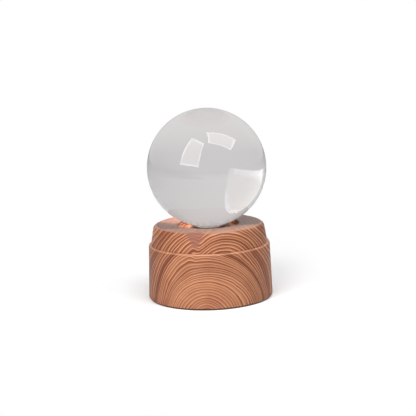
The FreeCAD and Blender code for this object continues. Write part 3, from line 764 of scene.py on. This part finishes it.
def light_chips(board, place, tones):
    """Light chips: pale housings with a yellow dish in the middle of each."""
    half_width = 2.5
    dish = 1.9
    middle, reach = along_x("light_emitters")
    row = middle + reach - half_width
    flat = board.vector("MULTIPLY", place, (1, 1, 0))
    nearest = board.vector("LENGTH", flat, (0, 0, 0), 1)
    for x, y in ((1, 0), (-1, 0), (0, 1), (0, -1)):
        nearest = nearest.least(board.vector("DISTANCE", flat, (x * row, y * row, 0), 1))
    grain = board.noise(place, 3.0, 2.0)
    body = board.blend(grain * 0.2, whole(tones.chip_body), (0.6, 0.6, 0.56, 1))
    return {
        "Base Color": board.blend(1 - nearest.step(dish - 0.1, dish), body, whole(tones.chip_dish)),
        "Roughness": 0.4 + (grain - 0.5) * 0.2,
        "Normal": board.bump(grain, 0.00002, 0.4),
    }


def laminate(board, place, tones):
    """The light board: white lacquer over two round tracks that show as faint raised rings."""
    flat = board.vector("MULTIPLY", place, (1, 1, 0))
    radius = board.vector("LENGTH", flat, (0, 0, 0), 1)
    tracks = 2 - (radius - 10.6).size().step(0.5, 0.7) - (radius - 4.2).size().step(0.4, 0.6)
    grain = board.noise(place, 1.5, 3.0)
    return {
        "Base Color": board.blend(tracks * 0.35, whole(tones.board), (0.62, 0.6, 0.5, 1)),
        "Roughness": 0.36 + (grain - 0.5) * 0.2,
        "Normal": board.bump(tracks + grain * 0.1, 0.00003, 0.6),
    }


def resistors(board, place, tones):
    """Small resistors: black with tinned ends."""
    middle, half = along_x("board_resistors")
    tinned = (board.parts(place)[0] - middle).size().step(half - 0.5, half - 0.45)
    grain = board.noise(place, 4.0, 2.0)
    return {
        "Base Color": board.blend(tinned, (0.02, 0.02, 0.022, 1), (0.6, 0.6, 0.58, 1)),
        "Metallic": tinned,
        "Roughness": 0.4 + (grain - 0.5) * 0.2,
    }


def dress(name, sockets, *nodes):
    """Gives CAD nodes a finish."""
    material = finish(name, sockets)
    for node in nodes:
        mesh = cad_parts[node].data
        mesh.materials.clear()
        mesh.materials.append(material)


# Pieces


class LAMP_OT_glass_ball(bpy.types.Operator):
    """Makes the ball by turning a half circle of its radius R, with points (R sin a, -R cos a) from
    its centre. It is so fine that light bends through it without facets."""

    bl_idname = "lamp.glass_ball"
    bl_label = "Glass ball"

    def execute(self, context):
        angle = np.linspace(0, math.pi, 181)
        radius = ball_radius * np.sin(angle)
        height = ball_centre - ball_radius * np.cos(angle)
        profile = np.stack([radius, height], axis=-1)
        profile[[0, -1], 0] = 0
        glass = finish("clear_glass", clear_glass)
        turned_piece("glass_ball", profile, glass, "crystal_ball", "ball", closed=False)
        return {"FINISHED"}


class LAMP_OT_upper_tier(bpy.types.Operator):
    """Makes the wooden cap with its shoulder, its mouth and the stepped bore for the lamp."""

    bl_idname = "lamp.upper_tier"
    bl_label = "Upper tier"

    def execute(self, context):
        sizes = context.scene.lamp_sizes
        tones = context.scene.lamp_colours
        mouth_floor = tier_top - sizes.mouth_depth
        flange_seat = drum_top + sizes.flange_depth
        body_top = flange_seat + sizes.body_height
        profile = rounded([
            (sizes.bore_step, mouth_floor, 0),
            (sizes.mouth_radius, mouth_floor, 0),
            (sizes.mouth_radius, tier_top, sizes.mouth_round),
            (sizes.tier_radius - sizes.tier_taper, tier_top, sizes.tier_shoulder),
            (sizes.tier_radius, drum_top, sizes.tier_foot_round),
            (sizes.tenon_radius, drum_top, 0),
            (sizes.tenon_radius, tier_foot, 0),
            (sizes.flange_bore, tier_foot, 0),
            (sizes.flange_bore, flange_seat, 0),
            (sizes.body_bore, flange_seat, 0),
            (sizes.body_bore, body_top, 0),
            (sizes.bore_step, body_top, 0),
        ], 14)
        cap = Block(
            name="tier_wood",
            crown=tier_top / MILLI,
            heart=(9.0, 25.0),
            rings=tier_rings,
            spacing=1.75,
            bite=(1.8, 1.8),
            zones=[
                (0, 0.5), (18, 0.54), (18.8, 0.98), (19.6, 0.56), (32, 0.58), (35, 0.8), (38, 0.54)
            ],
            lean=0.0,
            # A painted highlight on the shoulder, and the ball's painted shadow on the crown, fading
            # at the front
            painted_bands=[
                (-0.6, -0.3, tones.cap_edge_highlight, 0.7, 0.0),
                (-0.25, -0.05, tones.crown_shadow, 0.85, 0.9),
            ],
            knot_push=((-8.6, -37.0, 44.0), 12.0, 2.2),
            knot_stain=(-9.0, 41.6, 50.0, 2.2, 5.2),
        )
        turned_piece("turned_tier", profile, wood(cap), "upper_tier", "base")
        return {"FINISHED"}


class LAMP_OT_lower_drum(bpy.types.Operator):
    """Makes the wooden drum with its rounded lip and the hole for the switch at its back."""

    bl_idname = "lamp.lower_drum"
    bl_label = "Lower drum"

    def execute(self, context):
        drum = Block(
            name="drum_wood",
            crown=drum_top / MILLI,
            heart=(-3.3, -5.3),
            rings=drum_rings,
            spacing=1.75,
            bite=(0.9, 1.6),
            zones=[
                (0, 0.5), (10, 0.46), (24, 0.42), (30, 0.48), (31.2, 0.64), (32.4, 0.5), (35.4, 0.52),
                (36.3, 0.7), (37.2, 0.47), (43.6, 0.49), (44.6, 0.98), (45.8, 0.98), (46.8, 0.56),
                (54.5, 0.58), (55.7, 0.95), (57, 0.58), (64, 0.56),
            ],
            lean=0.14,
            # A painted highlight on the drum's lip
            painted_bands=[(-1.0, -0.6, context.scene.lamp_colours.drum_lip_highlight, 0.35, 0.0)],
            knot_push=((-11.0, -40.0, 38.0), 14.0, 1.2),
        )
        drum_piece(wood(drum))
        return {"FINISHED"}


class LAMP_OT_seat(bpy.types.Operator):
    """Makes the soft ring under the ball, the frosted window and the foot pad. The ring's hollow lies
    on a sphere about the ball's centre, larger than the ball by the gap."""

    bl_idname = "lamp.seat"
    bl_label = "Seat ring, window and pad"

    def execute(self, context):
        sizes = context.scene.lamp_sizes
        curve = ball_radius + sizes.ring_gap
        edge = math.sqrt(curve**2 - (ball_centre - ring_top) ** 2)
        outer = rounded([
            (sizes.ring_hole, ring_foot, 0),
            (ring_span, ring_foot, 0),
            (ring_span, ring_top, min(sizes.ring_round, (ring_span - edge) * 0.9)),
            (edge, ring_top, 0),
        ])
        hollow = np.linspace(edge, sizes.ring_hole, 12)[1:]
        cup = np.stack([hollow, ball_centre - np.sqrt(curve**2 - hollow**2)], axis=-1)
        ring = finish("soft_ring", soft_ring)
        turned_piece("soft_seat", np.concatenate([outer, cup]), ring, "seat_ring", "base")
        window = rounded([
            (0, window_foot, 0),
            (window_span, window_foot, 0),
            (window_span, window_top, sizes.window_round),
            (0, window_top, 0),
        ])
        disc = finish("frosted_window", frosted)
        turned_piece("frosted_disc", window, disc, "light_window", "base", closed=False)
        pad = rounded([
            (sizes.pad_hole, pad_foot, sizes.pad_round),
            (pad_span, pad_foot, sizes.pad_round),
            (pad_span, pad_top, sizes.pad_round),
            (sizes.pad_hole, pad_top, sizes.pad_round),
        ], 3)
        turned_piece("foam_foot", pad, finish("foot_foam", foam), "foot_pad", "base")
        return {"FINISHED"}


class LAMP_OT_light_unit(bpy.types.Operator):
    """Finishes the lamp holder, the light board and their screws."""

    bl_idname = "lamp.light_unit"
    bl_label = "Light unit"

    def execute(self, context):
        tones = context.scene.lamp_colours
        dress("white_moulding", moulded(tones.moulding, 0.34, 1.6, 0.00002), "lamp_holder")
        dress("board_laminate", laminate, "light_board")
        dress("chip_yellow", light_chips, "light_emitters")
        dress("chip_black", resistors, "board_resistors")
        steel = metal(tones.steel, 0.3, (1.0, 1.0, 6.0))
        screws = ("board_screws", "holder_screws", "tier_screws", "tray_screws")
        dress("plated_steel", steel, *screws, "switch_nut")
        return {"FINISHED"}


class LAMP_OT_battery_tray(bpy.types.Operator):
    """Finishes the bottom tray, its cover, the cells and their contacts."""

    bl_idname = "lamp.battery_tray"
    bl_label = "Battery tray"

    def execute(self, context):
        tones = context.scene.lamp_colours
        black = moulded(tones.black_moulding, 0.52, 2.4, 0.00005)
        dress("black_moulding", black, "bottom_tray", "battery_cover")
        dress("cell_jacket", cell(1), "front_cell", "back_cell")
        dress("cell_jacket_turned", cell(-1), "middle_cell")
        nickel = metal(tones.nickel, 0.24, (1.0, 5.0, 1.0))
        contacts = ("minus_contact", "plus_contact", "front_link", "back_link", "cell_springs")
        dress("nickel_plate", nickel, *contacts)
        return {"FINISHED"}


class LAMP_OT_switch(bpy.types.Operator):
    """Finishes the push switch and the leads."""

    bl_idname = "lamp.switch"
    bl_label = "Switch and leads"

    def execute(self, context):
        tones = context.scene.lamp_colours
        dress("switch_black", moulded(tones.switch_black, 0.4, 2.0, 0.00003), "switch_body")
        dress("button_black", moulded(tones.switch_black, 0.26, 1.2, 0.00001), "switch_button")
        dress("terminal_brass", metal(tones.brass, 0.28, (1.0, 6.0, 1.0)), "switch_terminals")
        for name, tone, node in (
            ("red_lead", tones.lead_red, "plus_lead"),
            ("white_lead", tones.lead_white, "lamp_lead"),
            ("black_lead", tones.lead_black, "minus_lead"),
        ):
            dress(name, moulded(tone, 0.4, 2.0, 0.00002), node)
        return {"FINISHED"}


# The stage

# Soft lights, which mirrors and glass don't show: name, compass angle from the front towards +X,
# height angle, width, height, roll, strength
SOFT_LIGHTS = [
    ("left_light", -32.6, 35.8, 0.54, 0.83, -8.5, 7.6),
    ("right_light", 48.6, 60.4, 0.74, 0.43, -45.0, 5.4),
]

# What polished surfaces mirror in place of those lights: name, then the compass and height angle
# of each corner around the ball's centre
MIRRORED_LIGHTS = [
    ("left_panel", ((-49.0, 59.9), (-4.4, 52.8), (-15.4, 8.2), (-51.5, 11.2))),
    ("right_panel", ((8.6, 76.3), (84.6, 41.9), (56.1, 32.6), (7.2, 53.3))),
]

# A light that is only seen through the glass, which gathers it in the mouth at its left
GATHERED_LIGHT = ("gathered_light", 42.0, 62.0, 0.15, 0.15, 0.0, 22.0)

# The bright spot that the ball gathers on the cap's crown, as a narrow beam: the spot's centre in
# millimetres from the lamp's axis, its half width in millimetres, the beam's compass and height
# angle, and its strength
CROWN_SPOT = ((-25.0, 14.0), 9.0, -150.0, 42.0, 120.0)

# Strength of the world's even light
AMBIENT = 0.3

# The floor's colours through the glass: near the lamp, far from it, and at its right
GLASS_FLOOR = ((0.735, 0.715, 0.712, 1), (0.625, 0.612, 0.615, 1), (0.565, 0.555, 0.56, 1))
WHITE = (1, 1, 1, 1)

# The photograph's camera, and the ball's outline in it in pixels
CAMERA_PITCH = math.radians(9.89)
CAMERA_ROLL = math.radians(2.0)
BALL_PIXEL = (206.59, 167.57)
BALL_PIXEL_RADIUS = 59.66


def facing(compass, height, roll):
    """Axes of a panel around the ball that faces it: across, up and out, turned by its roll."""
    a = math.radians(compass)
    h = math.radians(height)
    out = Vector((math.sin(a) * math.cos(h), -math.cos(a) * math.cos(h), math.sin(h)))
    across = Vector((0, 0, 1)).cross(out).normalized()
    up = out.cross(across)
    turn = Matrix.Rotation(math.radians(roll), 3, out)
    return turn @ across, turn @ up, out


def placed(name, data, axes, place):
    """Puts a light or a camera into the scene. Its axes go across, up and to its back."""
    made = bpy.data.objects.new(name, data)
    matrix = Matrix(axes).transposed().to_4x4()
    matrix.translation = place
    made.matrix_world = matrix
    bpy.context.scene.collection.objects.link(made)
    return made


def soft_light(name, compass, height, width, tall, roll, strength):
    """An area light that faces the ball."""
    data = bpy.data.lights.new(name, "AREA")
    data.shape = "RECTANGLE"
    data.size = width
    data.size_y = tall
    data.energy = strength
    axes = facing(compass, height, roll)
    distance = bpy.context.scene.lamp_stage.light_distance
    lamp = placed(name, data, axes, Vector((0, 0, ball_centre)) + axes[2] * distance)
    lamp.visible_camera = False
    lamp.visible_glossy = False
    return lamp


def crown_beam():
    """A narrow beam that lights one spot of the cap's crown."""
    centre, half_width, compass, height, strength = CROWN_SPOT
    distance = bpy.context.scene.lamp_stage.light_distance
    data = bpy.data.lights.new("crown_beam", "SPOT")
    data.spot_size = 2 * math.atan(half_width * MILLI / distance)
    data.spot_blend = 0.15
    data.shadow_soft_size = 0
    data.energy = strength
    axes = facing(compass, height, 0)
    spot = Vector((centre[0] * MILLI, centre[1] * MILLI, tier_top))
    lamp = placed("crown_beam", data, axes, spot + axes[2] * distance)
    lamp.visible_glossy = False
    lamp.visible_transmission = False


def glass_masks(board):
    """One for what the camera sees through the glass and zero for other rays, and then the same
    for light that passes the glass on its way to the wood."""
    bent = board.ray("Is Transmission Ray")
    scattered = board.ray("Diffuse Depth").least(1.0)
    return bent * (1 - scattered), bent * scattered


def panel_material():
    """A soft light's face: warm, with a whiter and brighter edge. Through the glass it is a quarter
    fainter, and fainter still near its right end, most of all low down. It throws no light
    through the glass onto the wood."""
    material, board = blank("light_face")
    across, up = board.parts(board.node("ShaderNodeTexCoord", {}, {}, "UV"))[:2]
    edge = (across - 0.5).size().most((up - 0.5).size()).step(0.39, 0.45)
    tint = board.blend(edge, (1.0, 0.93, 0.86, 1), (1.0, 0.99, 1.0, 1))
    seen, passed = glass_masks(board)
    right_end = up.step(0.3, 0.42, 0.75, 0.38)
    clear = 1 - passed - seen * across.step(0.86, 1.0, 0.28, right_end)
    face = board.glow(tint, (edge * 2.6 + 3.4) * clear)
    board.surface(face)
    return material


def mirrored_panel(name, corners, material):
    """A bright four-cornered face that only mirrors and glass show, just behind the soft lights."""
    distance = bpy.context.scene.lamp_stage.light_distance * 1.02
    places = [
        tuple(Vector((0, 0, ball_centre)) + facing(compass, height, 0)[2] * distance)
        for compass, height in corners
    ]
    mesh = bpy.data.meshes.new(name)
    mesh.from_pydata(places, [], [(0, 1, 2, 3)])
    sheet = mesh.uv_layers.new(name="UVMap")
    sheet.uv.foreach_set("vector", (0, 1, 1, 1, 1, 0, 0, 0))
    mesh.materials.append(material)
    made = bpy.data.objects.new(name, mesh)
    made.visible_camera = False
    made.visible_diffuse = False
    made.visible_shadow = False
    bpy.context.scene.collection.objects.link(made)


def floor_material():
    """White to the camera with the object's shadow on it, shades of grey through the glass, and a
    plain pale floor for all other light."""
    material, board = blank("floor")
    place = board.millimetres()
    x, y = board.parts(place)[:2]
    plain = board.node("ShaderNodeBsdfDiffuse", {}, {"Color": (0.66, 0.66, 0.66, 1)})
    paper = board.node("ShaderNodeBsdfDiffuse", {}, {"Color": (0.9, 0.9, 0.9, 1)})
    shown = board.node("ShaderNodeAddShader", {}, {0: paper, 1: board.glow(WHITE, 0.09)})
    beyond = 1 - (1 - x.size().step(38.0, 92.0)) * (1 - y.size().step(10.0, 230.0))
    shown = board.mixed(beyond, shown, board.glow(WHITE))
    near, far, right = (board.glow(tone) for tone in GLASS_FLOOR)
    reach = board.vector("LENGTH", place, (0, 0, 0), 1)
    behind = board.mixed(reach.step(70.0, 330.0), near, far)
    behind = board.mixed(x.step(20.0, 400.0), behind, right)
    seen = board.mixed(board.ray("Is Camera Ray"), plain, shown)
    seen = board.mixed(glass_masks(board)[0], seen, behind)
    board.surface(seen)
    return material


def world_light():
    """White behind everything for the camera. Through the glass it is a grey that is darker to the
    right and in front. Reflections show it dark with a paler back, and on the object it is an even
    light, which is dimmed where it has come through the glass."""
    world = bpy.data.worlds.new("studio")
    world.use_nodes = True
    board = Board(world.node_tree)
    seen, passed = glass_masks(board)
    x, y = board.parts(board.node("ShaderNodeTexCoord", {}, {}, "Generated"))[:2]
    side = x.step(-0.2, 1.0)
    front = 1 - y.step(-0.15, 0.45)
    back = y.step(0.2, 0.95) * board.ray("Is Glossy Ray") * (1 - seen)
    strength = AMBIENT * (1 - passed * 0.7) + board.ray("Is Camera Ray") * (1 - AMBIENT)
    strength = strength + seen * (0.34 - side * 0.08 - front * 0.1) + back * 0.4
    tint = board.blend(seen, WHITE, (1, 0.98, 0.978, 1))
    glow = board.node("ShaderNodeBackground", {}, {"Color": tint, "Strength": strength})
    board.node("ShaderNodeOutputWorld", {}, {"Surface": glow})
    bpy.context.scene.world = world


def add_camera():
    """The photograph's camera: it looks down by its pitch and is rolled, and its distance and lens
    follow from the ball's outline in the photograph."""
    stage = bpy.context.scene.lamp_stage
    size = stage.image_size
    focal = BALL_PIXEL_RADIUS / math.tan(math.asin(ball_radius / stage.camera_distance))
    ahead = Vector((0, math.cos(CAMERA_PITCH), -math.sin(CAMERA_PITCH)))
    level = Vector((1, 0, 0))
    upright = level.cross(ahead)
    across = level * math.cos(CAMERA_ROLL) - upright * math.sin(CAMERA_ROLL)
    up = level * math.sin(CAMERA_ROLL) + upright * math.cos(CAMERA_ROLL)
    right = (BALL_PIXEL[0] - size / 2) / focal
    down = (BALL_PIXEL[1] - size / 2) / focal
    towards = (ahead + across * right - up * down).normalized()
    place = Vector((0, 0, ball_centre)) - towards * stage.camera_distance
    data = bpy.data.cameras.new("photo_camera")
    data.sensor_width = 36
    data.lens = focal * data.sensor_width / size
    axes = (across, up, -ahead)
    bpy.context.scene.camera = placed("photo_camera", data, axes, place)


class LAMP_OT_stage(bpy.types.Operator):
    """Makes the floor, the soft lights, the world and the camera."""

    bl_idname = "lamp.stage"
    bl_label = "Stage"

    def execute(self, context):
        stage = context.scene.lamp_stage
        reach = stage.floor_reach
        mesh = bpy.data.meshes.new("floor")
        corners = [(-reach, -reach, 0), (reach, -reach, 0), (reach, reach, 0), (-reach, reach, 0)]
        mesh.from_pydata(corners, [], [(0, 1, 2, 3)])
        mesh.materials.append(floor_material())
        floor = bpy.data.objects.new("floor", mesh)
        context.scene.collection.objects.link(floor)
        for light in SOFT_LIGHTS:
            soft_light(*light).visible_transmission = False
        soft_light(*GATHERED_LIGHT).visible_diffuse = False
        crown_beam()
        face = panel_material()
        for name, corners in MIRRORED_LIGHTS:
            mirrored_panel(name, corners, face)
        world_light()
        add_camera()
        context.scene.view_settings.view_transform = "Standard"
        return {"FINISHED"}


STEPS = [
    LAMP_OT_glass_ball,
    LAMP_OT_upper_tier,
    LAMP_OT_lower_drum,
    LAMP_OT_seat,
    LAMP_OT_light_unit,
    LAMP_OT_battery_tray,
    LAMP_OT_switch,
    LAMP_OT_stage,
]


class LAMP_PT_panel(bpy.types.Panel):
    """Lists the lamp's sizes, colours and steps."""

    bl_idname = "LAMP_PT_panel"
    bl_label = "Crystal ball lamp"
    bl_space_type = "VIEW_3D"
    bl_region_type = "UI"
    bl_category = "Lamp"

    def draw(self, context):
        for step in STEPS:
            self.layout.operator(step.bl_idname)
        for group in (context.scene.lamp_sizes, context.scene.lamp_colours, context.scene.lamp_stage):
            box = self.layout.box()
            for name in group.__annotations__:
                box.prop(group, name)


CLASSES = [LampSizes, LampColours, StageSizes, *STEPS, LAMP_PT_panel]


def register():
    for item in CLASSES:
        bpy.utils.register_class(item)
    bpy.types.Scene.lamp_sizes = PointerProperty(type=LampSizes)
    bpy.types.Scene.lamp_colours = PointerProperty(type=LampColours)
    bpy.types.Scene.lamp_stage = PointerProperty(type=StageSizes)


def unregister():
    del bpy.types.Scene.lamp_stage
    del bpy.types.Scene.lamp_colours
    del bpy.types.Scene.lamp_sizes
    for item in reversed(CLASSES):
        bpy.utils.unregister_class(item)


def main():
    """Registers the tools and builds the lamp in order."""
    register()
    bpy.ops.lamp.glass_ball()
    bpy.ops.lamp.upper_tier()
    bpy.ops.lamp.lower_drum()
    bpy.ops.lamp.seat()
    bpy.ops.lamp.light_unit()
    bpy.ops.lamp.battery_tray()
    bpy.ops.lamp.switch()
    bpy.ops.lamp.stage()


if __name__ == "__main__":
    main()
